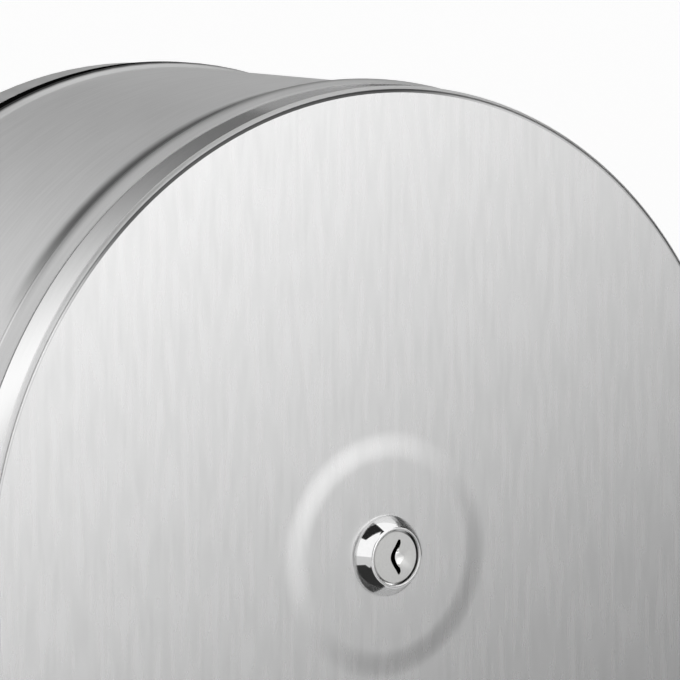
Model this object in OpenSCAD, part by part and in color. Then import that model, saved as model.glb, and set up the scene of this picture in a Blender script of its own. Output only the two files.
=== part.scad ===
// Jumbo toilet roll dispenser: a round sheet-steel casing with a side-hinged lid and a key lock.
// Units are millimetres. The origin is the centre of the wall-fixing pattern on the wall's surface,
// +Z is up and the lid faces -Y. Shapes are drawn with x to the right, y up and z out from the wall,
// and turned shapes as [radius, distance out from the wall].

/* [Casing] */
// Distance from the wall to the lid's flat face
body_depth = 131.5; // [122:0.5:160]
// Thickness of the sheet steel in the lid, drum and back plate
sheet_t = 0.8; // [0.7:0.1:1.2]
// Depth of the back plate's visible rim
rim_depth = 16.5; // [12:0.5:20]
// How far the drum's wall lies inside the lid's skirt
drum_inset = 0.4; // [0:0.1:1]
// How far the rim stands out past the drum's wall
rim_proud = 0.4; // [0.3:0.1:1]
// Radius of the corner between the back plate and its rim
rim_corner = 4; // [2.5:0.5:10]
// How far the back plate's lap reaches forward inside the drum
rim_lap = 8; // [6:0.5:14]
// Width of the seal between the rim and the drum
seal_w = 4; // [2:0.1:5]
// Length over which the drum's rear edge flares out to the seal
flare_l = 3.8; // [2.5:0.1:6]
// Height of the flare above the drum's wall
flare_h = 1.4; // [1:0.1:1.8]
// Thickness of the mouth ring's steel
hoop_t = 1.4; // [1:0.1:1.6]
// Width of the band of the mouth ring that laps over the drum
hoop_w = 7.2; // [6:0.1:12]

/* [Paper outlet] */
// Width of the opening in the bottom of the drum
outlet_w = 110; // [90:1:130]
// Width of wall left between the opening and the mouth ring
outlet_front_land = 1; // [1:0.1:8]
// Width of wall left between the opening and the flare
outlet_rear_land = 1; // [1:0.1:8]
// Corner radius of the opening
outlet_corner = 6; // [3:0.5:10]
// Thickness of the tear bars
tear_bar_t = 1; // [0.8:0.1:1.5]
// Width of each tear bar that lies on the drum
tear_bar_land = 11; // [10:0.5:15]
// How far the teeth stand out past the opening's edge
tooth_reach = 3.5; // [2.5:0.1:5]
// Height of a tooth
tooth_h = 2.2; // [1.5:0.1:2.4]
// Number of teeth on each tear bar
tooth_count = 24; // [16:1:30]

/* [Lid] */
// Outside diameter of the lid's skirt
lid_d = 254; // [244:1:290]
// Depth of the lid's skirt
skirt_depth = 10.8; // [9:0.1:14]
// Radius of the lid's front edge
lid_edge_r = 1.6; // [1.4:0.1:3]
// Gap between the skirt's rear edge and the mouth ring's band
seam_gap = 0.4; // [0.3:0.1:1]
// Radial gap between the mouth ring's neck and the skirt
mouth_gap = 0.8; // [0.6:0.1:1.5]
// Gap between the neck's front edge and the inside of the lid
mouth_end_gap = 1.6; // [1:0.1:3]
// Radius of the pressed boss at the foot of its slope
boss_foot_r = 34.8; // [32:0.2:40]
// Radius of the flat top of the pressed boss
boss_top_r = 24; // [20:0.2:26]
// Height of the pressed boss
boss_h = 0.5; // [0.3:0.1:2]

/* [Lock] */
// Diameter of the lock's bezel where it meets the boss
bezel_d = 22; // [21:0.5:26]
// Diameter of the flat ring at the front of the bezel
bezel_front_d = 17; // [16.4:0.2:18]
// Height of the bezel
bezel_h = 4.8; // [4:0.1:8]
// Height of the straight foot of the bezel, below its cone
bezel_foot_h = 0.8; // [0.4:0.1:1.5]
// Diameter of the threaded lock body
lock_body_d = 19; // [18:0.1:19.4]
// Width of the lock body across its two flats
lock_flats = 16.5; // [16:0.1:17]
// Length of the lock body behind the boss
lock_body_l = 22; // [18:0.1:26]
// Diameter of the plug's face
plug_d = 15; // [14:0.1:15]
// Length of the plug's face section
plug_face_l = 3; // [2:0.1:5]
// Diameter of the plug's barrel
barrel_d = 12; // [11:0.1:13]
// Diameter of the plug's tail, which passes through the keeper
tail_d = 9.6; // [8:0.1:10]
// Width of the square shank that carries the cam
cam_shank = 7; // [6:0.1:7.6]
// Height of the keyway
keyway_h = 9.4; // [8:0.1:10]
// Width of the keyway
keyway_w = 1.9; // [1.4:0.1:2.4]
// Distance across the flats of the lock's nut
nut_af = 24; // [22:0.5:27]
// Thickness of the lock's nut
nut_t = 4; // [3:0.1:6]
// Thickness of the lock's washer
lock_washer_t = 0.8; // [0.5:0.1:1.2]
// Length of the cam from the lock's axis to its tip
cam_l = 12.5; // [11:0.1:13]
// Width of the cam
cam_w = 11; // [10:0.1:12]
// Thickness of the cam
cam_t = 2.5; // [2:0.1:3]
// Side clearance of the cam in the keeper's slot, for the lid's swing
slot_side_gap = 1; // [0.8:0.1:1.5]

/* [Spindle] */
// Outside diameter of the spindle tube
spindle_d = 34; // [34:0.5:38]
// Wall thickness of the spindle tube
spindle_wall = 1.5; // [1.2:0.1:1.6]
// Diameter of the flange that carries the spindle
spindle_flange_d = 66; // [60:1:76]
// Thickness of the spindle's flange
spindle_flange_t = 1.5; // [1:0.1:3]
// Height of the flange's collar round the spindle
spindle_collar_h = 4; // [3.5:0.1:6]
// Thickness of the keeper plate that the cam locks behind
keeper_t = 1.5; // [1:0.1:2]
// Height of the raised pad at the centre of the back plate
pad_h = 3; // [2.5:0.1:5]
// Diameter of the raised pad's flat
pad_d = 104; // [90:1:110]
// Radial width of the slope round the raised pad
pad_slope = 5; // [3:0.5:8]

/* [Roll hub] */
// Outside diameter of the hub, which the roll's core slides over
hub_d = 54; // [52:0.5:58]
// Wall thickness of the hub's sleeve and inner tube
hub_wall = 2; // [1.5:0.1:2.5]
// Diameter of the flange behind the roll
hub_flange_d = 90; // [70:1:110]
// Thickness of the flange behind the roll
hub_flange_t = 2; // [1.5:0.1:4]
// Number of ribs inside the hub
hub_ribs = 8; // [4:1:12]
// Thickness of the ribs
rib_t = 1.6; // [1:0.1:2.5]
// Length of the lead-in at the hub's front end
hub_lead = 4; // [2:0.5:8]
// Wall left at the tip of the lead-in
hub_tip_wall = 0.8; // [0.5:0.1:1.4]
// Length of each bearing bush inside the hub
bush_l = 12; // [8:0.5:20]
// Wall thickness of the bearing bushes
bush_wall = 1.5; // [1.2:0.1:2]
// Thickness of the bushes' flanges
bush_flange_t = 1.5; // [1:0.1:2.5]
// Length of the spacer that holds the hub forward, over the paper outlet
spacer_l = 14.2; // [8:0.1:20]
// Thickness of the plastic washer in front of the hub
washer_t = 1.2; // [0.8:0.1:2]
// Radial width of the spacer and the washer
washer_w = 6; // [5:0.5:8]
// Thickness of the retaining ring
ring_t = 1.2; // [1:0.1:1.5]
// Radial width of the retaining ring
ring_w = 3; // [2.5:0.1:4]
// Depth of the retaining ring's groove in the spindle
ring_groove = 0.7; // [0.5:0.1:0.9]

/* [Lid hinge] */
// Overall length of the hinge along its pin
hinge_l = 42; // [34:1:50]
// Diameter of the hinge pin
hinge_pin_d = 3; // [2.5:0.1:3.4]
// Thickness of the hinge leaves
leaf_t = 1; // [0.8:0.1:1.2]
// Width of the fixed leaf on the drum, behind the mouth ring
leaf_land = 14; // [13:0.5:20]
// Width of the moving leaf on the skirt
leaf_reach = 8; // [6:0.2:8.4]

/* [Fixings] */
// Distance between the wall-fixing holes, across and up
wall_fix_pitch = 120; // [112:1:130]
// Diameter of the wall-fixing holes
wall_fix_d = 6; // [5:0.5:8]
// Diameter of the rivet shanks
rivet_d = 3.2; // [2.4:0.1:4]
// Height of the rivet heads
rivet_head_h = 1.2; // [0.8:0.1:1.6]
// Height of the rivet tails
rivet_tail_h = 1; // [0.6:0.1:1.4]
// Diameter of the cam screw's thread
cam_screw_d = 4; // [3:0.5:5]
// Diameter of the cam screw's head
cam_screw_head_d = 7.6; // [7:0.1:9]
// Height of the cam screw's head
cam_screw_head_h = 2.2; // [1.5:0.1:2.4]

/* [Fits] */
// Radial clearance of parts that turn in one another
running_gap = 0.05; // [0.03:0.01:0.08]
// Radial clearance of parts that are assembled but don't turn
seat_gap = 0.05; // [0.02:0.01:0.1]
// Clearance between parts that pass each other
passing_gap = 0.5; // [0.4:0.05:0.8]
// End clearance of stacked turning parts
end_gap = 0.1; // [0.05:0.01:0.2]
// End clearance between the hinge's knuckles
knuckle_gap = 0.3; // [0.2:0.05:0.6]

/* [Hidden] */
$fn = 96;

STEEL = [0.74, 0.75, 0.76];
BRIGHT = [0.86, 0.87, 0.88];
BRASS = [0.78, 0.66, 0.36];
RUBBER = [0.06, 0.06, 0.06];
PLASTIC = [0.14, 0.14, 0.15];
NYLON = [0.9, 0.9, 0.86];

// Steps in an arc or a smooth step that is drawn as points
ARC_STEPS = 6;
// How far a cutting shape runs past what it cuts
past = 1;

// Lid and the drum's mouth
lid_r = lid_d / 2;
boss_z = body_depth + boss_h;
skirt_z = body_depth - skirt_depth;
neck_r = lid_r - sheet_t - mouth_gap;
neck_front_z = body_depth - sheet_t - mouth_end_gap;
drum_r = lid_r - drum_inset;
drum_in_r = drum_r - sheet_t;
hoop_r = drum_r + seat_gap + hoop_t;
hoop_front_z = skirt_z - seam_gap;
hoop_rear_z = hoop_front_z - hoop_w;
drum_front_z = hoop_front_z - hoop_t - seat_gap;
drum_rear_z = rim_depth + seal_w;

// The back plate's rim, and its lap that the drum is welded round
rim_r = drum_r + rim_proud;
lap_r = drum_in_r - seat_gap;
lap_end_z = drum_rear_z + rim_lap;

// Paper outlet
outlet_rear_z = drum_rear_z + flare_l + outlet_rear_land;
outlet_front_z = hoop_rear_z - outlet_front_land;
outlet_edge_angle = asin(outlet_w / 2 / drum_in_r);
tear_bar_angle = outlet_edge_angle + asin(tear_bar_land / 2 / drum_in_r);
tear_bar_seat_r = sqrt(pow(drum_in_r, 2) - pow(tear_bar_land / 2, 2)) - seat_gap;
tear_bar_rear_z = max(outlet_rear_z, lap_end_z) + seat_gap;
tear_bar_l = outlet_front_z - tear_bar_rear_z;
tear_rivet_grip = drum_r - tear_bar_seat_r + tear_bar_t;
TEAR_RIVET_PLACES = [0.12, 0.5, 0.88];

// Lock, from the bezel back to the cam's screw
lock_body_r = lock_body_d / 2;
lock_front_z = boss_z + bezel_h;
lock_rear_z = boss_z - lock_body_l;
lock_washer_z = boss_z - sheet_t - lock_washer_t;
nut_z = lock_washer_z - nut_t;
keeper_z = lock_rear_z - passing_gap - keeper_t;
cam_front_z = keeper_z - passing_gap;
cam_rear_z = cam_front_z - cam_t;
edge_break = 0.35;

// Spindle, from the raised pad forward to the keeper
pad_front_z = pad_h + sheet_t;
flange_front_z = pad_front_z + spindle_flange_t;
collar_top_z = pad_front_z + spindle_collar_h;
spindle_r = spindle_d / 2;
spindle_bore_r = spindle_r - spindle_wall;
slot_tip_r = cam_l + passing_gap;
spigot_in_r = slot_tip_r + passing_gap;
spigot_l = passing_gap + cam_t + cam_screw_head_h;
flange_rivet_r = (spindle_r + spindle_flange_t + spindle_flange_d / 2) / 2;

// Roll hub, between the flange's collar and the retaining ring
rear_bush_z = collar_top_z + spacer_l + end_gap;
hub_rear_z = rear_bush_z + bush_flange_t;
ring_z = keeper_z - spigot_l - ring_t;
front_washer_z = ring_z - washer_t;
hub_front_z = front_washer_z - end_gap - bush_flange_t;
hub_r = hub_d / 2;
bush_in_r = spindle_r + running_gap;
bush_out_r = bush_in_r + bush_wall;
bush_flange_r = bush_out_r + hub_wall + passing_gap;

// Hinge, whose pin stands upright outside the lid's right-hand side
KNUCKLES = 5;
knuckle_pitch = hinge_l / KNUCKLES;
knuckle_r = hinge_pin_d / 2 + running_gap + leaf_t;
web_reach = knuckle_r - knuckle_gap;
hinge_x = hoop_r + leaf_t + passing_gap + knuckle_r;
hinge_z = skirt_z - seam_gap / 2;
leaf_half_angle = asin(hinge_l / 2 / lid_r);
leaf_step_l = hoop_r - drum_r;
leaf_rivet_z = hoop_rear_z - (leaf_step_l + leaf_land) / 2;
leaf_rivet_angle = leaf_half_angle * 0.6;
pin_head_h = 1;

// Rivets
rivet_r = rivet_d / 2;
rivet_head_r = rivet_r * 1.8;
rivet_tail_r = rivet_r * 1.5;
rivet_tip_r = rivet_r * 1.2;
// The tails seat flat inside the drum's curve
leaf_rivet_grip = drum_r + leaf_t - sqrt(pow(drum_in_r, 2) - pow(rivet_tail_r, 2)) + seat_gap;

// Points on an arc about a centre
function arc(centre, r, from, to) = [for (i = [0:ARC_STEPS])
    centre + r * [cos(from + (to - from) * i / ARC_STEPS), sin(from + (to - from) * i / ARC_STEPS)]];

// A smooth step between two points that is level at both ends
function level_step(from, to) = [for (i = [0:ARC_STEPS])
    [from.x + (to.x - from.x) * i / ARC_STEPS,
    from.y + (to.y - from.y) * (1 - cos(180 * i / ARC_STEPS)) / 2]];

// Points of a rectangle with rounded corners, centred on the origin
function rounded_box(w, h, r) = concat(
    arc([w / 2 - r, h / 2 - r], r, 0, 90), arc([r - w / 2, h / 2 - r], r, 90, 180),
    arc([r - w / 2, r - h / 2], r, 180, 270), arc([w / 2 - r, r - h / 2], r, 270, 360));

// Points of a lever that is round about the origin and points down to a round tip
function lever(w, tip_r) = concat(
    arc([0, 0], w / 2, 0, 180),
    arc([0, 0], tip_r, 270 - asin(w / 2 / tip_r), 270 + asin(w / 2 / tip_r)));

// Places what is drawn with z out from the wall into the part's frame
module out_of_wall() rotate([90, 0, 0]) children();

// A ring from one distance out from the wall, of a length along z
module ring(r_in, r_out, z, l) translate([0, 0, z]) rotate_extrude()
    translate([r_in, 0]) square([r_out - r_in, l]);

// A rivet whose head sits on z = 0 and whose shank runs back through a grip of sheet
module rivet(grip) rotate_extrude() polygon(concat(
    [for (i = [0:ARC_STEPS])
        [rivet_head_r * sin(90 * i / ARC_STEPS), rivet_head_h * cos(90 * i / ARC_STEPS)]],
    [[rivet_r, 0], [rivet_r, -grip], [rivet_tail_r, -grip], [rivet_tip_r, -grip - rivet_tail_h],
    [0, -grip - rivet_tail_h]]));

module rivet_hole(grip) translate([0, 0, -grip - past]) cylinder(r = rivet_r + seat_gap, h = grip + 2 * past);

// Places children on a wall of radius r, at an angle round the casing, with z pointing outwards
module on_wall(angle, r, z) rotate([0, 0, angle]) translate([r, 0, z]) rotate([0, 90, 0]) children();

// Places children at the rivets of one tear bar: side is 1 for the right and -1 for the left
module at_tear_rivets(side) for (place = TEAR_RIVET_PLACES)
    on_wall(-90 + side * tear_bar_angle, drum_r, tear_bar_rear_z + tear_bar_l * place) children();

module at_leaf_rivets() for (up = [-1, 1])
    on_wall(up * leaf_rivet_angle, drum_r + leaf_t, leaf_rivet_z) children();

module at_flange_rivets() for (i = [0:3]) rotate([0, 0, 45 + 90 * i])
    translate([flange_rivet_r, 0, flange_front_z]) children();

// ---- Casing ----

// The paper outlet: a rounded opening down through the bottom of the casing
module outlet_cut() translate([0, 0, (outlet_rear_z + outlet_front_z) / 2]) rotate([90, 0, 0])
    linear_extrude(drum_r + flare_h + past)
        polygon(rounded_box(outlet_w, outlet_front_z - outlet_rear_z, outlet_corner));

// Pressed pan against the wall: a raised centre pad, a rim, and a lap inside the drum
module back_plate() color(STEEL) out_of_wall() difference() {
    rotate_extrude() polygon(concat(
        [[0, pad_h]],
        level_step([pad_d / 2, pad_h], [pad_d / 2 + pad_slope, 0]),
        arc([rim_r - rim_corner, rim_corner], rim_corner, -90, 0),
        [[rim_r, rim_depth], [lap_r, rim_depth], [lap_r, lap_end_z], [lap_r - sheet_t, lap_end_z],
        [lap_r - sheet_t, rim_depth - sheet_t], [rim_r - sheet_t, rim_depth - sheet_t]],
        arc([rim_r - rim_corner, rim_corner], rim_corner - sheet_t, 0, -90),
        level_step([pad_d / 2 + pad_slope, sheet_t], [pad_d / 2, pad_front_z]),
        [[0, pad_front_z]]));
    for (x = [-1, 1], y = [-1, 1]) translate([x * wall_fix_pitch / 2, y * wall_fix_pitch / 2, -past])
        cylinder(d = wall_fix_d, h = sheet_t + 2 * past);
    at_flange_rivets() rivet_hole(spindle_flange_t + sheet_t);
    outlet_cut();
}

// Points down the drum's flare from its rear edge, for a wall of the radius given
function flared(radius) = [for (i = [0:ARC_STEPS])
    [radius + flare_h * (1 + cos(180 * i / ARC_STEPS)) / 2, drum_rear_z + flare_l * i / ARC_STEPS]];

// Rolled drum whose rear edge flares out over the seal
module drum_wall() color(STEEL) out_of_wall() difference() {
    rotate_extrude() polygon(concat(
        flared(drum_r), [[drum_r, drum_front_z], [drum_in_r, drum_front_z]],
        [for (i = [ARC_STEPS:-1:0]) flared(drum_in_r)[i]]));
    outlet_cut();
    for (side = [-1, 1]) at_tear_rivets(side) rivet_hole(tear_rivet_grip);
    at_leaf_rivets() rivet_hole(leaf_rivet_grip);
}

// Rolled ring welded round the drum's front edge: a band outside it and a neck for the lid
module mouth_ring() color(STEEL) out_of_wall() rotate_extrude() polygon([
    [drum_r + seat_gap, hoop_rear_z], [hoop_r - hoop_t / 4, hoop_rear_z], [hoop_r, hoop_rear_z + hoop_t / 4],
    [hoop_r, hoop_front_z - hoop_t / 2], [hoop_r - hoop_t / 2, hoop_front_z], [neck_r, hoop_front_z],
    [neck_r, neck_front_z], [neck_r - hoop_t, neck_front_z], [neck_r - hoop_t, hoop_front_z - hoop_t],
    [drum_r + seat_gap, hoop_front_z - hoop_t]]);

// Rubber seal between the back plate's rim and the drum's flared edge
module rear_seal() color(RUBBER) out_of_wall()
    ring(lap_r + seat_gap, drum_r + flare_h - seat_gap, rim_depth, seal_w);

// Serrated strip inside one edge of the outlet, drawn for the right-hand edge
module tear_bar() color(BRIGHT) out_of_wall() rotate([0, 0, -90 + tear_bar_angle]) difference() {
    pitch = tear_bar_l / tooth_count;
    tip = -tear_bar_land / 2 - tooth_reach;
    translate([tear_bar_seat_r, 0, tear_bar_rear_z]) rotate([0, -90, 0]) linear_extrude(tear_bar_t)
        polygon(concat(
            [[0, tear_bar_land / 2]],
            [for (i = [0:tooth_count - 1], half = [0, 1])
                [(i + half / 2) * pitch, tip + (1 - half) * tooth_h]],
            [[tear_bar_l, tip + tooth_h], [tear_bar_l, tear_bar_land / 2]]));
    for (place = TEAR_RIVET_PLACES) on_wall(0, drum_r, tear_bar_rear_z + tear_bar_l * place)
        rivet_hole(tear_rivet_grip);
}

module tear_bar_right() tear_bar();
module tear_bar_left() mirror([1, 0, 0]) tear_bar();

module tear_bar_rivets() color(BRIGHT) out_of_wall()
    for (side = [-1, 1]) at_tear_rivets(side) rivet(tear_rivet_grip);

// ---- Spindle ----

// Flange with a drawn collar, riveted to the raised pad
module spindle_flange() color(STEEL) out_of_wall() difference() {
    union() {
        ring(spindle_r + seat_gap, spindle_flange_d / 2, pad_front_z, spindle_flange_t);
        ring(spindle_r + seat_gap, spindle_r + seat_gap + spindle_flange_t, pad_front_z, spindle_collar_h);
    }
    at_flange_rivets() rivet_hole(spindle_flange_t);
}

module flange_rivets() color(BRIGHT) out_of_wall() at_flange_rivets() rivet(spindle_flange_t + sheet_t);

// Tube that the hub turns on, with a groove for the retaining ring
module spindle_tube() color(STEEL) out_of_wall() difference() {
    ring(spindle_bore_r, spindle_r, pad_front_z, keeper_z - pad_front_z);
    ring(spindle_r - ring_groove, spindle_r + past, ring_z - seat_gap, ring_t + 2 * seat_gap);
}

// Slotted end plate with a spigot pressed into the tube: the lock's cam turns behind its face
module keeper_plate() color(BRIGHT) out_of_wall() difference() {
    union() {
        translate([0, 0, keeper_z]) cylinder(r = spindle_r, h = keeper_t);
        ring(spigot_in_r, spindle_bore_r - seat_gap, keeper_z - spigot_l, spigot_l + keeper_t / 2);
    }
    translate([0, 0, keeper_z - past]) linear_extrude(keeper_t + 2 * past)
        polygon(lever(cam_w + 2 * slot_side_gap, slot_tip_r));
}

module hub_spacer() color(NYLON) out_of_wall()
    ring(spindle_r + seat_gap, spindle_r + washer_w, collar_top_z, spacer_l);

module front_washer() color(NYLON) out_of_wall()
    ring(spindle_r + seat_gap, spindle_r + washer_w, front_washer_z, washer_t);

// Open spring ring in the spindle's groove, with an eye at each end
module retaining_ring() color(BRIGHT) out_of_wall() {
    gap_half_angle = 16;
    eye_r = 1.9;
    eye_hole_r = 0.85;
    eye_inset = 1;
    ring_in_r = spindle_r - ring_groove + seat_gap;
    translate([0, 0, ring_z]) difference() {
        union() {
            rotate([0, 0, 90 + gap_half_angle]) rotate_extrude(angle = 360 - 2 * gap_half_angle)
                translate([ring_in_r, 0]) square([ring_w, ring_t]);
            for (side = [-1, 1]) rotate([0, 0, 90 + side * gap_half_angle])
                translate([ring_in_r + ring_w, -side * eye_inset, 0]) cylinder(r = eye_r, h = ring_t);
        }
        for (side = [-1, 1]) rotate([0, 0, 90 + side * gap_half_angle])
            translate([ring_in_r + ring_w, -side * eye_inset, -past])
                cylinder(r = eye_hole_r, h = ring_t + 2 * past);
    }
}

// ---- Hinge ----

// Knuckles on the hinge's axis: first is 0 for the fixed leaf's and 1 for the moving leaf's.
// A web joins each to its leaf, between z_from and z_to, outside a wall of radius wall_r.
module knuckles(first, wall_r, z_from, z_to) difference() {
    for (i = [first:2:KNUCKLES - 1]) {
        low = -hinge_l / 2 + i * knuckle_pitch + (i == 0 ? 0 : knuckle_gap / 2);
        high = -hinge_l / 2 + (i + 1) * knuckle_pitch - (i == KNUCKLES - 1 ? 0 : knuckle_gap / 2);
        translate([hinge_x, high, hinge_z]) rotate([90, 0, 0]) cylinder(r = knuckle_r, h = high - low);
        translate([wall_r * cos(leaf_half_angle) - past, low, z_from])
            cube([hinge_x - wall_r * cos(leaf_half_angle) + past, high - low, z_to - z_from]);
    }
    translate([0, 0, z_from - past]) cylinder(r = wall_r, h = z_to - z_from + 2 * past);
    translate([hinge_x, hinge_l / 2 + past, hinge_z]) rotate([90, 0, 0])
        cylinder(r = hinge_pin_d / 2 + running_gap, h = hinge_l + 2 * past);
}

// A curved leaf, turned through the hinge's length from a profile
module leaf(profile) rotate([0, 0, -leaf_half_angle])
    rotate_extrude(angle = 2 * leaf_half_angle) polygon(profile);

// Leaf that lies over the mouth ring and steps down on to the drum, where it is riveted
module hinge_leaf_fixed() color(STEEL) out_of_wall() difference() {
    union() {
        leaf([[hoop_r, hoop_front_z], [hoop_r, hoop_rear_z], [drum_r, hoop_rear_z - leaf_step_l],
            [drum_r, hoop_rear_z - leaf_land], [drum_r + leaf_t, hoop_rear_z - leaf_land],
            [drum_r + leaf_t, hoop_rear_z - leaf_step_l], [hoop_r + leaf_t, hoop_rear_z],
            [hoop_r + leaf_t, hoop_front_z]]);
        knuckles(0, hoop_r, hinge_z - web_reach, hinge_z - knuckle_gap);
    }
    at_leaf_rivets() rivet_hole(leaf_t);
}

module leaf_rivets() color(BRIGHT) out_of_wall() at_leaf_rivets() rivet(leaf_rivet_grip);

// Leaf welded to the lid's skirt
module hinge_leaf_moving() color(STEEL) out_of_wall() {
    leaf([[lid_r, skirt_z], [lid_r, skirt_z + leaf_reach], [lid_r + leaf_t, skirt_z + leaf_reach],
        [lid_r + leaf_t, skirt_z]]);
    knuckles(1, lid_r, hinge_z + knuckle_gap, hinge_z + web_reach);
}

// Headed pin, riveted over at its lower end
module hinge_pin() color(BRIGHT) out_of_wall() translate([hinge_x, 0, hinge_z]) rotate([90, 0, 0])
    rotate_extrude() polygon([
        [0, -hinge_l / 2 - pin_head_h], [knuckle_r, -hinge_l / 2 - pin_head_h], [knuckle_r, -hinge_l / 2],
        [hinge_pin_d / 2, -hinge_l / 2], [hinge_pin_d / 2, hinge_l / 2], [knuckle_r, hinge_l / 2],
        [knuckle_r, hinge_l / 2 + pin_head_h], [0, hinge_l / 2 + pin_head_h]]);

// ---- Lid ----

// The lock body's section: a circle with two flats, grown all round by a gap
module lock_section(gap) intersection() {
    circle(r = lock_body_r + gap);
    square([lock_flats + 2 * gap, lock_body_d * 2], center = true);
}

// Pressed disc with a round boss about the lock and a skirt round its edge
module front_lid() color(STEEL) out_of_wall() difference() {
    rotate_extrude() polygon(concat(
        [[0, boss_z]],
        level_step([boss_top_r, boss_z], [boss_foot_r, body_depth]),
        arc([lid_r - lid_edge_r, body_depth - lid_edge_r], lid_edge_r, 90, 0),
        [[lid_r, skirt_z], [lid_r - sheet_t, skirt_z]],
        arc([lid_r - lid_edge_r, body_depth - lid_edge_r], lid_edge_r - sheet_t, 0, 90),
        level_step([boss_foot_r, body_depth - sheet_t], [boss_top_r, boss_z - sheet_t]),
        [[0, boss_z - sheet_t]]));
    translate([0, 0, body_depth - sheet_t - past]) linear_extrude(boss_h + sheet_t + 2 * past)
        lock_section(seat_gap);
}

// Bezel and threaded body in one casting, bored for the plug
module lock_housing() color(BRIGHT) out_of_wall() difference() {
    union() {
        translate([0, 0, lock_rear_z]) linear_extrude(lock_body_l + past) lock_section(0);
        rotate_extrude() polygon([
            [0, boss_z], [bezel_d / 2, boss_z], [bezel_d / 2, boss_z + bezel_foot_h],
            [bezel_front_d / 2 + edge_break, lock_front_z - 2 * edge_break],
            [bezel_front_d / 2, lock_front_z], [0, lock_front_z]]);
    }
    translate([0, 0, lock_rear_z - past])
        cylinder(r = barrel_d / 2 + running_gap, h = lock_body_l + bezel_h + past);
    translate([0, 0, lock_front_z - plug_face_l - end_gap])
        cylinder(r = plug_d / 2 + running_gap, h = plug_face_l + past);
}

module lock_washer() color(BRIGHT) out_of_wall()
    ring(lock_body_r + seat_gap, nut_af / 2 + 1, lock_washer_z, lock_washer_t);

module lock_nut() color(BRASS) out_of_wall() translate([0, 0, nut_z]) difference() {
    cylinder(d = nut_af / cos(30), h = nut_t, $fn = 6);
    translate([0, 0, -past]) cylinder(r = lock_body_r + seat_gap, h = nut_t + 2 * past);
}

// ---- Lock plug ----

// The keyway's section: wards step the slot from side to side. Each is [from, to, side],
// with its ends as shares of the keyway's height.
module keyway() {
    wards = [[0.12, 0.5, 1], [-0.2, 0.22, -1], [-0.5, -0.14, 1]];
    ward_step = 0.65;
    for (ward = wards) translate([ward[2] * ward_step - keyway_w / 2, ward[0] * keyway_h])
        square([keyway_w, (ward[1] - ward[0]) * keyway_h]);
}

// Turned plug with the keyway in its face and a square shank for the cam
module lock_plug() color(BRIGHT) out_of_wall() difference() {
    union() {
        rotate_extrude() polygon([
            [0, cam_front_z], [tail_d / 2, cam_front_z], [tail_d / 2, lock_rear_z],
            [barrel_d / 2, lock_rear_z], [barrel_d / 2, lock_front_z - plug_face_l],
            [plug_d / 2, lock_front_z - plug_face_l], [plug_d / 2, lock_front_z - edge_break],
            [plug_d / 2 - edge_break, lock_front_z], [0, lock_front_z]]);
        translate([-cam_shank / 2, -cam_shank / 2, cam_rear_z]) cube([cam_shank, cam_shank, cam_t + past]);
    }
    translate([0, 0, lock_rear_z + 2 * past]) linear_extrude(lock_body_l + bezel_h) keyway();
    translate([0, 0, cam_rear_z - past])
        cylinder(d = cam_screw_d + 2 * seat_gap, h = cam_t + lock_rear_z - cam_front_z + past);
}

module lock_cam() color(BRIGHT) out_of_wall() translate([0, 0, cam_rear_z]) difference() {
    linear_extrude(cam_t) polygon(lever(cam_w, cam_l));
    translate([-cam_shank / 2 - seat_gap, -cam_shank / 2 - seat_gap, -past])
        cube([cam_shank + 2 * seat_gap, cam_shank + 2 * seat_gap, cam_t + 2 * past]);
}

module cam_screw() color(BRIGHT) out_of_wall() rotate_extrude() polygon([
    [0, cam_rear_z - cam_screw_head_h], [cam_screw_head_d / 2 - edge_break, cam_rear_z - cam_screw_head_h],
    [cam_screw_head_d / 2, cam_rear_z - cam_screw_head_h + edge_break], [cam_screw_head_d / 2, cam_rear_z],
    [cam_screw_d / 2, cam_rear_z], [cam_screw_d / 2, cam_front_z], [0, cam_front_z]]);

// ---- Roll hub ----

// Moulded hub: a sleeve for the roll's core, a flange behind the roll, an inner tube and ribs
module core_hub() color(PLASTIC) out_of_wall() {
    tube_in_r = bush_out_r + seat_gap;
    sleeve_in_r = hub_r - hub_wall;
    rotate_extrude() polygon([
        [sleeve_in_r, hub_rear_z], [hub_flange_d / 2, hub_rear_z],
        [hub_flange_d / 2, hub_rear_z + hub_flange_t],
        [hub_r, hub_rear_z + hub_flange_t], [hub_r, hub_front_z - hub_lead],
        [sleeve_in_r + hub_tip_wall, hub_front_z], [sleeve_in_r, hub_front_z]]);
    ring(tube_in_r, tube_in_r + hub_wall, hub_rear_z, hub_front_z - hub_rear_z);
    for (i = [0:hub_ribs - 1]) rotate([0, 0, 360 * i / hub_ribs])
        translate([tube_in_r + hub_wall / 2, -rib_t / 2, hub_rear_z + hub_flange_t])
            cube([sleeve_in_r - tube_in_r, rib_t, hub_front_z - hub_rear_z - 2 * hub_flange_t]);
}

// Flanged bearing bush, drawn with its flange on z = 0 and its sleeve towards +z
module bush() rotate_extrude() polygon([
    [bush_in_r, -bush_flange_t], [bush_flange_r, -bush_flange_t], [bush_flange_r, 0],
    [bush_out_r, 0], [bush_out_r, bush_l], [bush_in_r, bush_l]]);

module rear_bush() color(NYLON) out_of_wall() translate([0, 0, hub_rear_z]) bush();
module front_bush() color(NYLON) out_of_wall() translate([0, 0, hub_front_z]) mirror([0, 0, 1]) bush();

back_plate();
drum_wall();
mouth_ring();
rear_seal();
tear_bar_left();
tear_bar_right();
tear_bar_rivets();
spindle_flange();
flange_rivets();
spindle_tube();
keeper_plate();
hub_spacer();
front_washer();
retaining_ring();
hinge_leaf_fixed();
leaf_rivets();
hinge_pin();
front_lid();
hinge_leaf_moving();
lock_housing();
lock_washer();
lock_nut();
lock_plug();
lock_cam();
cam_screw();
core_hub();
rear_bush();
front_bush();
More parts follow.
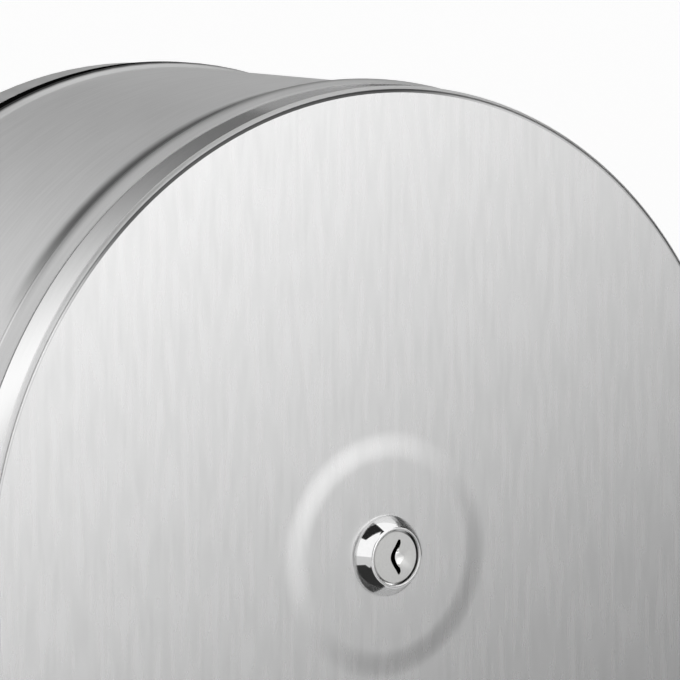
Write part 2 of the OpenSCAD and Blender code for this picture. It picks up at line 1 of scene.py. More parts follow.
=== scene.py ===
import math

import bmesh
import bpy
from mathutils import Matrix, Vector


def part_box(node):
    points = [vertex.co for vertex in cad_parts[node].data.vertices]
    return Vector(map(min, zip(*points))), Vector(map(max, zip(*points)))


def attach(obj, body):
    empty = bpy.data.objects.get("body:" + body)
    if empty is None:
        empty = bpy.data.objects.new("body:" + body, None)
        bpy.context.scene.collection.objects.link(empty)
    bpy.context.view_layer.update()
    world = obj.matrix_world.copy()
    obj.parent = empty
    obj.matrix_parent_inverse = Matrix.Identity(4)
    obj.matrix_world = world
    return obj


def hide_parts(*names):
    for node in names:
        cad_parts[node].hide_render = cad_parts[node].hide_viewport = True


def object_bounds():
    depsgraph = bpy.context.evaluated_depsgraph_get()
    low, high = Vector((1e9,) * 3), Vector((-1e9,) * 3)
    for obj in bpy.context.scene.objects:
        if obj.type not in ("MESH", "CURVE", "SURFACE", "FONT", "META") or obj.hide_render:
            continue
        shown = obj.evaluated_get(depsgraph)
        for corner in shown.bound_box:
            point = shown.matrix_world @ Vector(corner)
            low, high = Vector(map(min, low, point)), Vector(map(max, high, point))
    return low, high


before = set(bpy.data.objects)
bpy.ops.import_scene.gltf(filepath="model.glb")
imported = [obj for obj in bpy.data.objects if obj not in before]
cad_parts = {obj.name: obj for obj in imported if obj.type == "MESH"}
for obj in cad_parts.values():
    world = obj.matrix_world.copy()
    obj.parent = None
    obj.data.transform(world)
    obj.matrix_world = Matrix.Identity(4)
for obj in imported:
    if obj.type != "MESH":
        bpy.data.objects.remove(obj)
cad_box = [list(corner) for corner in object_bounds()]

# ---- Camera ----
# A long lens looks down a little on the lid from its left, so the drum's top and left side show.
# It is aimed a little to the left of the lock and above it.
lid_low, lid_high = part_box("front_lid")
boss_height = 0.0005
face_depth = -lid_low.y - boss_height
view_turn = math.radians(-35.81)
view_rise = math.radians(6.58)
view_distance = 1.3794
aim_right = -0.0123
aim_up = 0.0582

to_camera = Vector((math.sin(view_turn) * math.cos(view_rise),
                    -math.cos(view_turn) * math.cos(view_rise), math.sin(view_rise)))
picture_right = Vector((math.cos(view_turn), math.sin(view_turn), 0))
picture_up = to_camera.cross(picture_right)
aim = Vector((0, -face_depth, 0)) + picture_right * aim_right + picture_up * aim_up

lens = bpy.data.cameras.new("camera")
lens.lens = 270.0
lens.sensor_width = 36
lens.clip_end = 100
camera = bpy.data.objects.new("camera", lens)
turned = Matrix((picture_right, picture_up, to_camera)).transposed().to_4x4()
camera.matrix_world = Matrix.Translation(aim + to_camera * view_distance) @ turned
bpy.context.scene.collection.objects.link(camera)
bpy.context.scene.camera = camera
bpy.context.scene.view_settings.view_transform = "Standard"


# ---- Studio ----
# A white room with a plain pale floor. Soft cards stand round the part, out of the camera's sight,
# and only the metal mirrors them.
def node_finish(name):
    """A new material with its nodes, its links and its surface shader."""
    made = bpy.data.materials.new(name)
    made.use_nodes = True
    nodes = made.node_tree.nodes
    return made, nodes, made.node_tree.links, nodes["Principled BSDF"]


def add_mesh(name, form, *finishes):
    """Turns a bmesh into an object at the origin."""
    mesh = bpy.data.meshes.new(name)
    form.to_mesh(mesh)
    form.free()
    piece = bpy.data.objects.new(name, mesh)
    bpy.context.scene.collection.objects.link(piece)
    for finish in finishes:
        mesh.materials.append(finish)
    return piece


floor_drop = 0.16
floor_size = 60
floor_lift = 0.35
floor_paint, nodes, links, shader = node_finish("floor_paint")
shader.inputs["Base Color"].default_value = (0.82, 0.82, 0.82, 1)
shader.inputs["Roughness"].default_value = 0.9
shader.inputs["Specular IOR Level"].default_value = 0.1
seen = nodes.new("ShaderNodeLightPath")
lift = nodes.new("ShaderNodeMath")
lift.operation = "MULTIPLY"
lift.inputs[1].default_value = floor_lift
links.new(seen.outputs["Is Camera Ray"], lift.inputs[0])
shader.inputs["Emission Color"].default_value = (1, 1, 1, 1)
links.new(lift.outputs[0], shader.inputs["Emission Strength"])
form = bmesh.new()
bmesh.ops.create_grid(form, x_segments=1, y_segments=1, size=floor_size / 2,
                      matrix=Matrix.Translation((0, 0, cad_box[0][2] - floor_drop)))
floor = add_mesh("floor", form, floor_paint)

room_light = 0.75
world = bpy.data.worlds.new("white_room")
bpy.context.scene.world = world
world.use_nodes = True
nodes, links = world.node_tree.nodes, world.node_tree.links
room = nodes["Background"]
room.inputs["Color"].default_value = (1, 1, 1, 1)
path = nodes.new("ShaderNodeLightPath")
mirrored = nodes.new("ShaderNodeMath")
mirrored.operation = "MAXIMUM"
links.new(path.outputs["Is Glossy Ray"], mirrored.inputs[0])
links.new(path.outputs["Is Transmission Ray"], mirrored.inputs[1])
shown = nodes.new("ShaderNodeMath")
shown.operation = "MAXIMUM"
links.new(mirrored.outputs[0], shown.inputs[0])
links.new(path.outputs["Is Camera Ray"], shown.inputs[1])
strength = nodes.new("ShaderNodeMapRange")
strength.inputs["To Min"].default_value = room_light
strength.inputs["To Max"].default_value = 1
links.new(shown.outputs[0], strength.inputs["Value"])
links.new(strength.outputs["Result"], room.inputs["Strength"])


def card(name, centre, faces, width, height, levels, fade=(-1, 1), lean=0, curve=1):
    """A flat card that faces a place, and whose light goes from one level to another.

    It does so between two distances from its middle, across it or leaning up from that by an angle."""
    paint, nodes, links, shader = node_finish(name)
    nodes.remove(shader)
    place = nodes.new("ShaderNodeTexCoord")
    along = nodes.new("ShaderNodeVectorMath")
    along.operation = "DOT_PRODUCT"
    along.inputs[1].default_value = (math.cos(math.radians(lean)), math.sin(math.radians(lean)), 0)
    links.new(place.outputs["Object"], along.inputs[0])
    share = nodes.new("ShaderNodeMapRange")
    share.inputs["From Min"].default_value, share.inputs["From Max"].default_value = fade
    links.new(along.outputs["Value"], share.inputs["Value"])
    rise = nodes.new("ShaderNodeMath")
    rise.operation = "POWER"
    rise.inputs[1].default_value = curve
    links.new(share.outputs["Result"], rise.inputs[0])
    level = nodes.new("ShaderNodeMapRange")
    level.inputs["To Min"].default_value, level.inputs["To Max"].default_value = levels
    links.new(rise.outputs[0], level.inputs["Value"])
    glow = nodes.new("ShaderNodeEmission")
    links.new(level.outputs["Result"], glow.inputs["Strength"])
    links.new(glow.outputs[0], nodes["Material Output"].inputs["Surface"])
    form = bmesh.new()
    bmesh.ops.create_grid(form, x_segments=1, y_segments=1, size=0.5)
    bmesh.ops.scale(form, vec=(width, height, 1), verts=form.verts)
    made = add_mesh(name, form, paint)
    out = (Vector(faces) - Vector(centre)).normalized()
    across = Vector((0, 0, 1)).cross(out).normalized()
    made.matrix_world = (Matrix.Translation(centre)
                         @ Matrix((across, out.cross(across), out)).transposed().to_4x4())
    made.visible_camera = False
    made.visible_diffuse = False
    made.visible_shadow = False


# The near card that the lid's face mirrors, light towards its upper left, and a grey one left of it
card("face_card", (0.198, -0.66, -0.134), (-0.122, -0.217, -0.071), 0.77, 0.77, (0.29, 2.41),
     fade=(-0.2, 0.343), lean=57, curve=1.28)
card("left_card", (-0.46, -1.1, 0.25), (0, -0.13, 0), 0.85, 0.9, (0.45, 0.45))
# The ones behind that the drum and the skirt mirror, dark to the right and low down
card("back_card", (-0.16, 1.6, 0.8), (-0.16, 0, 0.8), 2.08, 2.2, (0.2, 1.55),
     fade=(-0.96, 0.84), lean=180, curve=2)
card("side_card", (1.25, 1.6, 1.0), (1.25, 0, 1.0), 0.74, 1.1, (0.38, 0.38))
card("rear_flag", (0.95, 1.5, 0.0), (0.95, 0, 0.0), 1.3, 0.8, (0.03, 0.03))
# Dark flags to the right, overhead and low down, for the lid's edge and the lock
card("brow_flag", (0.80, -0.10, 0.64), (0, -0.13, 0), 0.6, 0.42, (0.03, 0.03))
card("right_flag", (1.05, -0.6, 0.3), (0, -0.13, 0.05), 1.3, 1.1, (0.06, 0.06))
card("corner_flag", (1.05, 0.42, 0.35), (0, -0.1, 0.05), 0.9, 0.8, (0.15, 0.15))
card("top_flag", (-0.445, -0.13, 0.78), (-0.4, -0.13, 0), 0.46, 0.83, (0.02, 0.02))
card("low_flag", (-0.2, -0.035, -0.27), (-0.18, -0.035, 0), 0.56, 0.82, (0.03, 0.03))


# ---- Back plate ----
# A pan pressed from sheet stainless steel, satin finished, which screws to the wall. Its raised
# middle carries the spindle, and the drum is welded round a lap inside its rim.
def dress(name, paint):
    """Gives a part of the frame its finish."""
    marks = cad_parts[name].data.materials
    marks.clear()
    marks.append(paint)


streak_low = 0.3
streak_high = 0.7
haze_swing = 0.1
bump_strength = 0.2


def grained(made, shader_inputs, colour, roughness, grain, depth, tint, detail=2):
    """Streaks in a finish's shade, roughness and surface. grain is their number per metre on each axis."""
    nodes, links = made.node_tree.nodes, made.node_tree.links
    place = nodes.new("ShaderNodeTexCoord")
    stretch = nodes.new("ShaderNodeMapping")
    stretch.inputs["Scale"].default_value = grain
    links.new(place.outputs["Object"], stretch.inputs["Vector"])
    streak = nodes.new("ShaderNodeTexNoise")
    streak.inputs["Scale"].default_value = 1
    streak.inputs["Detail"].default_value = detail
    links.new(stretch.outputs["Vector"], streak.inputs["Vector"])
    shade = nodes.new("ShaderNodeMapRange")
    shade.inputs["From Min"].default_value = streak_low
    shade.inputs["From Max"].default_value = streak_high
    shade.inputs["To Min"].default_value = 1 - tint
    shade.inputs["To Max"].default_value = 1 + tint
    links.new(streak.outputs["Fac"], shade.inputs["Value"])
    tinted = nodes.new("ShaderNodeVectorMath")
    tinted.operation = "SCALE"
    tinted.inputs[0].default_value = colour
    links.new(shade.outputs["Result"], tinted.inputs["Scale"])
    links.new(tinted.outputs["Vector"], shader_inputs["Base Color"])
    haze = nodes.new("ShaderNodeMapRange")
    haze.inputs["To Min"].default_value = roughness * (1 - haze_swing)
    haze.inputs["To Max"].default_value = roughness * (1 + haze_swing)
    links.new(streak.outputs["Fac"], haze.inputs["Value"])
    links.new(haze.outputs["Result"], shader_inputs["Roughness"])
    bump = nodes.new("ShaderNodeBump")
    bump.inputs["Strength"].default_value = bump_strength
    bump.inputs["Distance"].default_value = depth
    links.new(streak.outputs["Fac"], bump.inputs["Height"])
    links.new(bump.outputs["Normal"], shader_inputs["Normal"])


def metal(name, colour, roughness, grain, depth=0.00001, tint=0.04, detail=2):
    """A bare metal with a grain."""
    made, _, _, shader = node_finish(name)
    shader.inputs["Metallic"].default_value = 1
    grained(made, shader.inputs, colour, roughness, grain, depth, tint, detail)
    return made


steel_shade = (0.58, 0.58, 0.58)
plate_steel = metal("satin_plate_steel", steel_shade, 0.5, (90, 90, 700))
dress("back_plate", plate_steel)


# ---- Rear seal ----
# A bead of black rubber, pressed into the joint between the back plate's rim and the drum's flare.
# It is round on its outer side, where it bulges out of the joint and laps a little over the rim.
def arc(centre, radius, start, end, steps, depth=None):
    """Points on an arc, each a distance from the axis and one out from the wall.

    Where its reach out from the wall is another than its radius, depth gives it."""
    depth = depth or radius
    turns = [math.radians(start + (end - start) * i / steps) for i in range(steps + 1)]
    return [(centre[0] + radius * math.cos(t), centre[1] + depth * math.sin(t)) for t in turns]


def turned_form(profile, steps=256):
    """Spins a closed profile about the part's axis, which runs out from the wall."""
    form = bmesh.new()
    points = [form.verts.new((r, -out, 0)) for r, out in profile]
    edges = [form.edges.new((points[i - 1], points[i])) for i in range(len(points))]
    bmesh.ops.spin(form, geom=points + edges, cent=(0, 0, 0), axis=(0, 1, 0), angle=2 * math.pi,
                   steps=steps, use_merge=True)
    face_outwards(form)
    smooth_edges(form)
    return form


def face_outwards(form):
    """Turns the faces of a closed form outwards."""
    bmesh.ops.recalc_face_normals(form, faces=form.faces)
    if form.calc_volume(signed=True) < 0:
        bmesh.ops.reverse_faces(form, faces=form.faces)


def smooth_edges(form, sharpest=30):
    """Shades a form smooth, apart from edges where it turns by more than an angle."""
    for f in form.faces:
        f.smooth = True
    for e in form.edges:
        e.smooth = e.calc_face_angle(0) < math.radians(sharpest)


def moulded(name, colour, roughness, grain, depth, specular=0.5):
    """A moulded plastic or rubber with a fine, even texture."""
    made, _, _, shader = node_finish(name)
    shader.inputs["Specular IOR Level"].default_value = specular
    grained(made, shader.inputs, colour, roughness, grain, depth, tint=0.08)
    return made


seal_low, seal_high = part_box("rear_seal")
seal_thickness = 0.0021
rim_lap = 0.0022
flare_lap = 0.0002
bead_bulge = 0.001
seal_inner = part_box("drum_wall")[1].x - seal_thickness
bead_rear = -seal_high.y - rim_lap
bead_front = -seal_low.y + flare_lap
form = turned_form([(seal_inner, bead_rear)]
                   + arc((seal_high.x - bead_bulge, (bead_front + bead_rear) / 2), bead_bulge,
                         -90, 90, 18, depth=(bead_front - bead_rear) / 2)
                   + [(seal_inner, bead_front)])
rubber = moulded("black_rubber", (0.003, 0.003, 0.003), 0.9, (900, 900, 900), 0.00002, specular=0)
seal = add_mesh("seal_bead", form, rubber)
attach(seal, "casing")
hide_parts("rear_seal")

# ---- Drum ----
# Sheet stainless steel rolled into a drum and welded, with a satin grain that runs round it. Its rear
# edge is flared out over the seal, and the paper outlet is cut through its underside. Its colour is
# painted darker on its upper left, as painted shade in bands beside the mouth ring and the seal.
# Painted shade falls on the upper left: that side leans this far from upright, and the shade starts and is
# full at these reaches along it.
painted_shade_lean = math.radians(20)
painted_shade_low = 0.0985
painted_shade_high = 0.119


def painted_shade(made, start, full, share):
    """Paints shade on a metal's upper left, darkening its colour between two places out from the wall,
    down to a share.
    """
    nodes, links = made.node_tree.nodes, made.node_tree.links
    base = nodes["Principled BSDF"].inputs["Base Color"]
    place = nodes.new("ShaderNodeTexCoord")
    parts = nodes.new("ShaderNodeSeparateXYZ")
    links.new(place.outputs["Object"], parts.inputs["Vector"])
    reach = nodes.new("ShaderNodeMapRange")
    reach.interpolation_type = "SMOOTHSTEP"
    reach.inputs["From Min"].default_value = -start
    reach.inputs["From Max"].default_value = -full
    links.new(parts.outputs["Y"], reach.inputs["Value"])
    above = nodes.new("ShaderNodeVectorMath")
    above.operation = "DOT_PRODUCT"
    above.inputs[1].default_value = (-math.sin(painted_shade_lean), 0, math.cos(painted_shade_lean))
    links.new(place.outputs["Object"], above.inputs[0])
    upper = nodes.new("ShaderNodeMapRange")
    upper.interpolation_type = "SMOOTHSTEP"
    upper.inputs["From Min"].default_value = painted_shade_low
    upper.inputs["From Max"].default_value = painted_shade_high
    links.new(above.outputs["Value"], upper.inputs["Value"])
    amount = nodes.new("ShaderNodeMath")
    amount.operation = "MULTIPLY"
    links.new(reach.outputs["Result"], amount.inputs[0])
    links.new(upper.outputs["Result"], amount.inputs[1])
    tone = nodes.new("ShaderNodeMapRange")
    tone.inputs["To Min"].default_value = 1
    tone.inputs["To Max"].default_value = share
    links.new(amount.outputs[0], tone.inputs["Value"])
    shaded_colour = nodes.new("ShaderNodeVectorMath")
    shaded_colour.operation = "SCALE"
    links.new(base.links[0].from_socket, shaded_colour.inputs[0])
    links.new(tone.outputs["Result"], shaded_colour.inputs["Scale"])
    links.new(shaded_colour.outputs["Vector"], base)


# Painted shade on the drum, behind the mouth ring and beside the seal: where each starts, where it is
# full, and the share of colour left.
ring_painted_shade = (0.1045, 0.1095, 0.2)
seal_painted_shade = (0.0224, 0.0212, 0.04)
drum_steel = metal("satin_drum_steel", (0.64, 0.64, 0.64), 0.5, (60, 900, 60))
painted_shade(drum_steel, *ring_painted_shade)
painted_shade(drum_steel, *seal_painted_shade)
dress("drum_wall", drum_steel)

# ---- Mouth ring ----
# A rolled and welded ring of thicker stainless steel, which stiffens the drum's mouth. Its band laps
# over the drum, with a polished rolled edge behind it, and its neck stands inside the lid's skirt.
ring_low, ring_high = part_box("mouth_ring")
ring_radius = ring_high.x
ring_rear = -ring_high.y
neck_front = -ring_low.y
ring_steel = 0.0014
band_width = 0.0075
neck_radius = 0.1254
roll_length = 0.0022
roll_overhang = 0.001
polish_width = 0.0026
band_taper = 0.0008
band_corner = 0.0002
neck_corner = 0.0004
band_front = ring_rear + band_width
band_inner = ring_radius - ring_steel
roll_rear = ring_rear - roll_overhang
profile = (arc((band_inner, roll_rear + roll_length), ring_steel, -90, 0, 15, depth=roll_length)
           + [(ring_radius, roll_rear + polish_width)]
           + arc((ring_radius - band_taper - band_corner, band_front - band_corner), band_corner,
                 0, 90, 4)
           + [(neck_radius, band_front)]
           + arc((neck_radius - neck_corner, neck_front - neck_corner), neck_corner, 0, 90, 4)
           + arc((neck_radius - ring_steel + neck_corner, neck_front - neck_corner), neck_corner,
                 90, 180, 4)
           + [(neck_radius - ring_steel, band_front - ring_steel), (band_inner, band_front - ring_steel)])
form = turned_form(profile)
for f in form.faces:
    middle = f.calc_center_median()
    if -middle.y < roll_rear + polish_width and math.hypot(middle.x, middle.z) > band_inner:
        f.material_index = 1
# Painted shade on the upper left of the band's rear and its rolled edge.
band_painted_shade = (ring_rear + 0.0045, ring_rear - 0.0005, 0.25)
polished_roll = metal("polished_roll_steel", (0.62, 0.62, 0.62), 0.3, (60, 900, 60), tint=0.02)
satin_ring = metal("satin_ring_steel", steel_shade, 0.48, (60, 900, 60))
painted_shade(polished_roll, *band_painted_shade)
painted_shade(satin_ring, *band_painted_shade)
ring = add_mesh("rolled_mouth_ring", form, satin_ring, polished_roll)
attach(ring, "casing")
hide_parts("mouth_ring")

# ---- Tear bars ----
# Two strips of bright stainless steel with a row of teeth, one along each side of the paper outlet.
# Three aluminium rivets hold each of them to the drum.
tear_steel = metal("bright_tear_steel", (0.66, 0.66, 0.66), 0.22, (120, 1500, 120), tint=0.03)
rivet_aluminium = metal("rivet_aluminium", (0.78, 0.78, 0.79), 0.32, (2500, 2500, 2500), 0.00002)
dress("tear_bar_left", tear_steel)
dress("tear_bar_right", tear_steel)
dress("tear_bar_rivets", rivet_aluminium)

# ---- Spindle ----
# A steel tube on a flange that four rivets hold to the back plate. The slotted keeper plate that the
# lock's cam turns behind is pressed into its front end.
spindle_steel = metal("turned_spindle_steel", (0.6, 0.6, 0.6), 0.3, (250, 2600, 250), 0.00002)
flange_steel = metal("pressed_flange_steel", (0.6, 0.6, 0.6), 0.42, (400, 400, 400))
keeper_steel = metal("ground_keeper_steel", (0.64, 0.64, 0.64), 0.26, (2400, 90, 120), tint=0.06)
dress("spindle_flange", flange_steel)
dress("flange_rivets", rivet_aluminium)
dress("spindle_tube", spindle_steel)
dress("keeper_plate", keeper_steel)

# ---- Spacer, washer and retaining ring ----
# The spacer and the washer are turned from white nylon. The open ring is stamped from spring steel
# and zinc plated, and snaps into the spindle's groove.
nylon = moulded("white_nylon", (0.74, 0.73, 0.7), 0.45, (700, 700, 700), 0.00002)
zinc_plate = metal("zinc_plate", (0.56, 0.57, 0.59), 0.3, (700, 700, 700), tint=0.06)
dress("hub_spacer", nylon)
dress("front_washer", nylon)
dress("retaining_ring", zinc_plate)

# ---- Roll hub ----
# A hub of dark grey moulded plastic, spark textured, that the roll's core slides over. A flanged
# nylon bush is pressed into each end and runs on the spindle.
hub_plastic = moulded("dark_hub_plastic", (0.045, 0.045, 0.048), 0.5, (1800, 1800, 1800), 0.00004)
dress("core_hub", hub_plastic)
dress("rear_bush", nylon)
dress("front_bush", nylon)


# ---- Lid ----
# A disc pressed from sheet stainless steel, with a round boss about the lock and a skirt round its
# edge. Its face is brushed upright and its skirt is bright. A dark line painted round the start of its
# folded edge is a painted dark reflection, and the rest of the fold is painted lighter, a painted
# highlight; both have painted shade on their upper left.
def level_step(start, end, steps=16):
    """Points on a smooth step that is level at both ends."""
    shares = [i / steps for i in range(steps + 1)]
    return [(start[0] + (end[0] - start[0]) * s,
             start[1] + (end[1] - start[1]) * (1 - math.cos(math.pi * s)) / 2) for s in shares]


lid_radius = lid_high.x
skirt_depth = 0.0108
edge_radius = 0.0016
edge_line = 0.00018
line_inside = 0.0002
sheet = 0.0008
boss_foot = 0.0342
boss_top = 0.0256
lock_hole = 0.0096
boss_front = face_depth + boss_height
brushed_radius = lid_radius - edge_radius - line_inside
corner = (lid_radius - edge_radius, face_depth - edge_radius)
profile = ([(lock_hole, boss_front)]
           + level_step((boss_top, boss_front), (boss_foot, face_depth))
           + [(brushed_radius, face_depth)]
           + arc(corner, edge_radius, 90, 0, 16)
           + [(lid_radius, face_depth - skirt_depth), (lid_radius - sheet, face_depth - skirt_depth)]
           + arc(corner, edge_radius - sheet, 0, 90, 6)
           + level_step((boss_foot, face_depth - sheet), (boss_top, boss_front - sheet))
           + [(lock_hole, boss_front - sheet)])
form = turned_form(profile)
for f in form.faces:
    middle = f.calc_center_median()
    if math.hypot(middle.x, middle.z) > brushed_radius:
        f.material_index = 1
        if -middle.y > face_depth - edge_radius:
            f.material_index = 2
        if -middle.y > face_depth - edge_line:
            f.material_index = 3
# Painted shade on the upper left of the fold and of the dark line at its start: the share of colour left
# on each.
edge_painted_shade = 0.72
line_painted_shade = 0.16
brushed_face = metal("brushed_lid_face", (0.66, 0.66, 0.66), 0.27, (440, 60, 58), tint=0.036, detail=1)
bright_skirt = metal("bright_lid_skirt", (0.66, 0.66, 0.66), 0.16, (60, 900, 60), tint=0.015)
# The fold is painted lighter than the rest of the sheet, a painted highlight.
highlight_folded_edge = metal("painted_highlight_folded_edge", (0.84, 0.84, 0.84), 0.55, (60, 900, 60), tint=0.02)
# The line at the fold's start is painted darker than the sheet, a painted dark reflection.
dark_reflection_line = metal("painted_dark_reflection_line", (0.5, 0.5, 0.5), 0.3, (60, 900, 60), tint=0.05)
painted_shade(highlight_folded_edge, 0, face_depth - edge_radius, edge_painted_shade)
painted_shade(dark_reflection_line, 0, face_depth - edge_line, line_painted_shade)
lid = add_mesh("lid_shell", form, brushed_face, bright_skirt, highlight_folded_edge, dark_reflection_line)
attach(lid, "lid")
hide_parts("front_lid")

# ---- Lid hinge ----
# Two curved leaves of stainless steel with rolled knuckles, one riveted to the drum and one welded
# to the lid's skirt, on an upright steel pin that is riveted over at its lower end.
leaf_steel = metal("satin_leaf_steel", (0.6, 0.6, 0.6), 0.4, (200, 900, 200))
pin_steel = metal("turned_pin_steel", (0.66, 0.66, 0.66), 0.2, (300, 300, 3000), tint=0.05)
dress("hinge_leaf_fixed", leaf_steel)
dress("hinge_leaf_moving", leaf_steel)
dress("hinge_pin", pin_steel)
dress("leaf_rivets", rivet_aluminium)

# ---- Lock housing ----
# A zinc casting with a coned bezel in front and a threaded body behind, chromium plated all over
# and dulled on its flat front. The body has two flats, which keep it from turning in the lid.
bezel_radius = 0.011
bezel_height = 0.0048
bezel_foot = 0.0008
bezel_front_radius = 0.0087
front_skin = 0.00006
cone_tilt = 31.5
cone_bulge = 0.00012
cone_steps = 10
lip = 0.0003
shoulder = 0.0008
plug_seat_radius = 0.00755
plug_seat_depth = 0.0031
barrel_bore = 0.00605
body_length = 0.022
half_flats = 0.00825
thread_radius = 0.0095
thread_root = 0.009
thread_pitch = 0.001
thread_start = 0.001
thread_turns = 20
thread_steps = 64
thread_sink = 0.0002
touching = 1e-7
lock_front = boss_front + bezel_height
body_rear = boss_front - body_length

body = turned_form([(barrel_bore, boss_front), (thread_root, boss_front), (thread_root, body_rear + lip),
                    (thread_root - lip, body_rear), (barrel_bore, body_rear)], steps=128)
ridge = [(thread_root - thread_sink, 0), (thread_radius, thread_pitch / 2),
         (thread_root - thread_sink, thread_pitch)]
points = [body.verts.new((r, -(boss_front - thread_start - down), 0)) for r, down in ridge]
edges = [body.edges.new((points[i - 1], points[i])) for i in range(len(points))]
bmesh.ops.spin(body, geom=points + edges, cent=(0, 0, 0), axis=(0, 1, 0),
               angle=2 * math.pi * thread_turns, steps=thread_steps * thread_turns,
               dvec=(0, thread_pitch / thread_steps, 0))
for side in (-1, 1):
    bmesh.ops.bisect_plane(body, geom=body.verts[:] + body.edges[:] + body.faces[:], dist=touching,
                           plane_co=(side * half_flats, 0, 0), plane_no=(side, 0, 0), clear_outer=True)
bmesh.ops.holes_fill(body, edges=[e for e in body.edges if e.is_boundary])
face_outwards(body)
smooth_edges(body)
rounded = arc((bezel_front_radius - shoulder, lock_front - shoulder), shoulder, 90, cone_tilt, 8)
cone_head = Vector(rounded[-1])
slope = Vector((bezel_radius, boss_front + bezel_foot)) - cone_head
outward = Vector((-slope.y, slope.x)).normalized()
cone = []
for i in range(1, cone_steps + 1):
    share = i / cone_steps
    cone.append(tuple(cone_head + slope * share + outward * cone_bulge * 4 * share * (1 - share)))
form = turned_form([(barrel_bore, boss_front), (barrel_bore, lock_front - plug_seat_depth),
                    (plug_seat_radius, lock_front - plug_seat_depth)]
                   + arc((plug_seat_radius + lip, lock_front - lip), lip, 180, 90, 5)
                   + rounded + cone + [(bezel_radius, boss_front)], steps=192)
for f in form.faces:
    f.material_index = int(-f.calc_center_median().y > lock_front - front_skin)
threaded = bpy.data.meshes.new("threaded_body")
body.to_mesh(threaded)
body.free()
form.from_mesh(threaded)
bpy.data.meshes.remove(threaded)
chrome = metal("bright_chrome", (0.92, 0.92, 0.92), 0.06, (1200, 1200, 1200), 0.000004, 0.015)
front_chrome = metal("satin_front_chrome", (0.66, 0.66, 0.66), 0.25, (1200, 1200, 1200), tint=0.03)
housing = add_mesh("lock_casting", form, chrome, front_chrome)
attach(housing, "lid")
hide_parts("lock_housing")


# ---- Lock plug ----
# A turned plug with a satin nickel face, set back in the bezel. Its keyway is broached in a curve,
# and a bright countersink leads the key into it. The square shank at its rear carries the cam.
def circle(radius, out, steps=96):
    """Places round a circle about the axis, at a distance out from the wall."""
    turns = [2 * math.pi * i / steps for i in range(steps)]
    return [(radius * math.cos(t), -out, radius * math.sin(t)) for t in turns]


def rim(form, places):
    """A closed loop of edges through some places."""
    points = [form.verts.new(place) for place in places]
    return [form.edges.new((points[i - 1], points[i])) for i in range(len(points))]


def bridged(form, *rims):
    """Walls from each rim to the next."""
    for near, far in zip(rims, rims[1:]):
        bmesh.ops.bridge_loops(form, edges=near + far)


def closed(form, edges):
    """A flat face that fills one rim, or the space between two."""
    return bmesh.ops.triangle_fill(form, edges=edges, use_beauty=True, normal=(0, -1, 0))["geom"]


keyway_reach = 0.0046
keyway_half = 0.0008
keyway_swing = 0.00095
keyway_lean = 0.00025
keyway_taper = 0.96
keyway_steps = 20
scoop_middle = -0.05
scoop_spread = 0.28


def keyway(out, grow=0, scoop=0):
    """Places round the keyway, a slot that swings to the left. It may be scooped out on its right."""
    right, left = [], []
    for i in range(keyway_steps + 1):
        share = 2 * i / keyway_steps - 1
        middle = keyway_lean - keyway_swing * math.cos(math.pi * share)
        half = (keyway_half + grow) * math.sqrt(1 - abs(keyway_taper * share) ** 3)
        dish = scoop * math.exp(-((share - scoop_middle) / scoop_spread) ** 2)
        height = share * (keyway_reach + grow)
        right.append((middle + half + dish, -out, height))
        left.append((middle - half, -out, height))
    return right + left[::-1]


plug_face = lock_front - 0.0007
head_rear = lock_front - 0.003
face_radius = 0.0072
face_edge = 0.0003
barrel_radius = 0.006
tail_radius = 0.0048
shank_width = 0.007
countersink = 0.00038
scoop_depth = 0.0003
mouth_grow = 0.00015
mouth_scoop = 0.0026
scoop_floor = 0.0012
keyway_depth = 0.016
cam_low, cam_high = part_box("lock_cam")
cam_front = -cam_low.y
cam_rear = -cam_high.y
form = bmesh.new()
mouth = rim(form, keyway(plug_face, mouth_grow, mouth_scoop))
throat = rim(form, keyway(plug_face - countersink))
bridged(form, mouth, rim(form, keyway(plug_face - scoop_depth, 0, scoop_floor)), throat)
for f in form.faces:
    f.material_index = 1
keyway_floor = rim(form, keyway(plug_face - keyway_depth))
bridged(form, throat, keyway_floor)
closed(form, keyway_floor)
turned = [rim(form, circle(radius, out)) for radius, out in (
    (face_radius - face_edge, plug_face), (face_radius, plug_face - face_edge), (face_radius, head_rear),
    (barrel_radius, head_rear), (barrel_radius, body_rear), (tail_radius, body_rear),
    (tail_radius, cam_front))]
closed(form, turned[0] + mouth)
bridged(form, *turned)
closed(form, turned[-1])
face_outwards(form)
bmesh.ops.create_cube(form, size=1, matrix=Matrix.Translation((0, -(cam_front + cam_rear) / 2, 0))
                      @ Matrix.Diagonal((shank_width, cam_front - cam_rear, shank_width, 1)))
smooth_edges(form)
satin_nickel = metal("satin_plug_nickel", (0.66, 0.66, 0.65), 0.3, (1500, 1500, 1500), tint=0.03)
bright_nickel = metal("bright_plug_nickel", (0.86, 0.86, 0.85), 0.1, (1500, 1500, 1500), tint=0.02)
plug = add_mesh("keyed_plug", form, satin_nickel, bright_nickel)
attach(plug, "lock_plug")
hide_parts("lock_plug")

# ---- Lock washer and nut ----
# A zinc-plated steel washer and a hexagonal brass nut, whose corners are turned down on both faces.
# They clamp the housing to the lid from behind.
nut_low, nut_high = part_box("lock_nut")
nut_front = -nut_low.y
nut_rear = -nut_high.y
nut_bore = 0.00955
half_across_flats = 0.012
nut_face_radius = 0.0117
nut_chamfer = math.tan(math.radians(30))


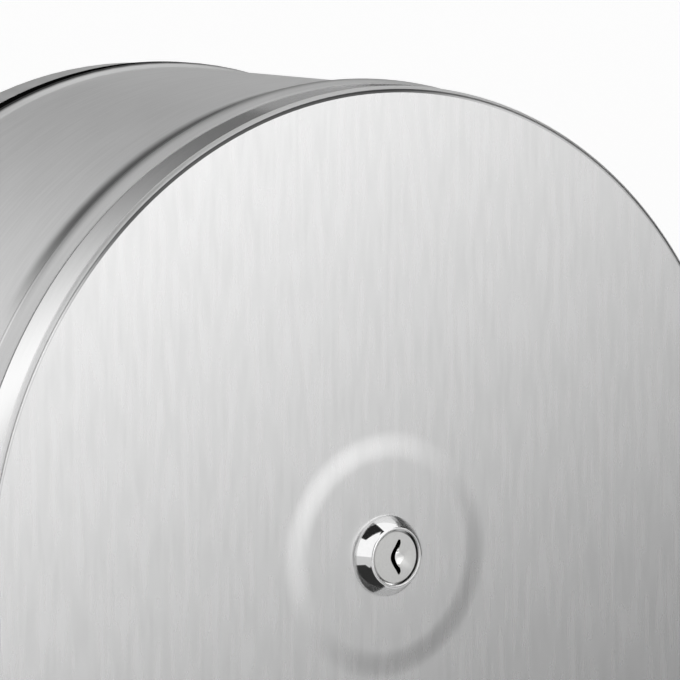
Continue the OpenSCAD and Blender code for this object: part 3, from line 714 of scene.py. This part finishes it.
def hexagon(face, inwards, steps=96):
    """Places round the nut's flats, where a cone that starts at one of its faces meets them."""
    places = []
    for i in range(steps):
        turn = 2 * math.pi * i / steps
        radius = half_across_flats / math.cos(turn % (math.pi / 3) - math.pi / 6)
        out = face + inwards * (radius - nut_face_radius) * nut_chamfer
        places.append((radius * math.cos(turn), -out, radius * math.sin(turn)))
    return places


form = bmesh.new()
rims = [rim(form, places) for places in (
    circle(nut_bore, nut_front), circle(nut_face_radius, nut_front), hexagon(nut_front, -1),
    hexagon(nut_rear, 1), circle(nut_face_radius, nut_rear), circle(nut_bore, nut_rear))]
closed(form, rims[0] + rims[1])
bridged(form, *rims[1:5])
closed(form, rims[4] + rims[5])
bridged(form, rims[5], rims[0])
face_outwards(form)
smooth_edges(form)
brass = metal("turned_brass", (0.72, 0.52, 0.22), 0.28, (500, 2500, 500), 0.00002)
nut = add_mesh("chamfered_nut", form, brass)
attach(nut, "lid")
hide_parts("lock_nut")
dress("lock_washer", zinc_plate)

# ---- Lock cam and its screw ----
# The cam is stamped from zinc-plated steel, and a pan-headed screw with a cross recess holds it on
# the plug's shank.
dress("lock_cam", zinc_plate)
screw_rear = -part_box("cam_screw")[1].y
screw_head_radius = 0.0038
screw_radius = 0.002
head_round = 0.0009
recess_reach = 0.0019
recess_half = 0.00045
recess_depth = 0.0013
recess_floor = 0.6


def cross(out, share=1):
    """Places round a cross."""
    reach, half = recess_reach * share, recess_half * share
    arm = [(reach, -half), (reach, half), (half, half)]
    return [(x * math.cos(t) - z * math.sin(t), -out, x * math.sin(t) + z * math.cos(t))
            for t in [math.radians(90 * i) for i in range(4)] for x, z in arm]


form = bmesh.new()
crown = arc((screw_head_radius - head_round, screw_rear + head_round), head_round, -90, 0, 5)
turned = [rim(form, circle(radius, out)) for radius, out in crown + [
    (screw_head_radius, cam_rear), (screw_radius, cam_rear), (screw_radius, cam_front)]]
recess = [rim(form, cross(screw_rear)), rim(form, cross(screw_rear + recess_depth, recess_floor))]
closed(form, turned[0] + recess[0])
bridged(form, *turned)
bridged(form, *recess)
closed(form, turned[-1])
closed(form, recess[1])
face_outwards(form)
smooth_edges(form)
screw = add_mesh("cross_head_screw", form, zinc_plate)
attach(screw, "lock_plug")
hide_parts("cam_screw")
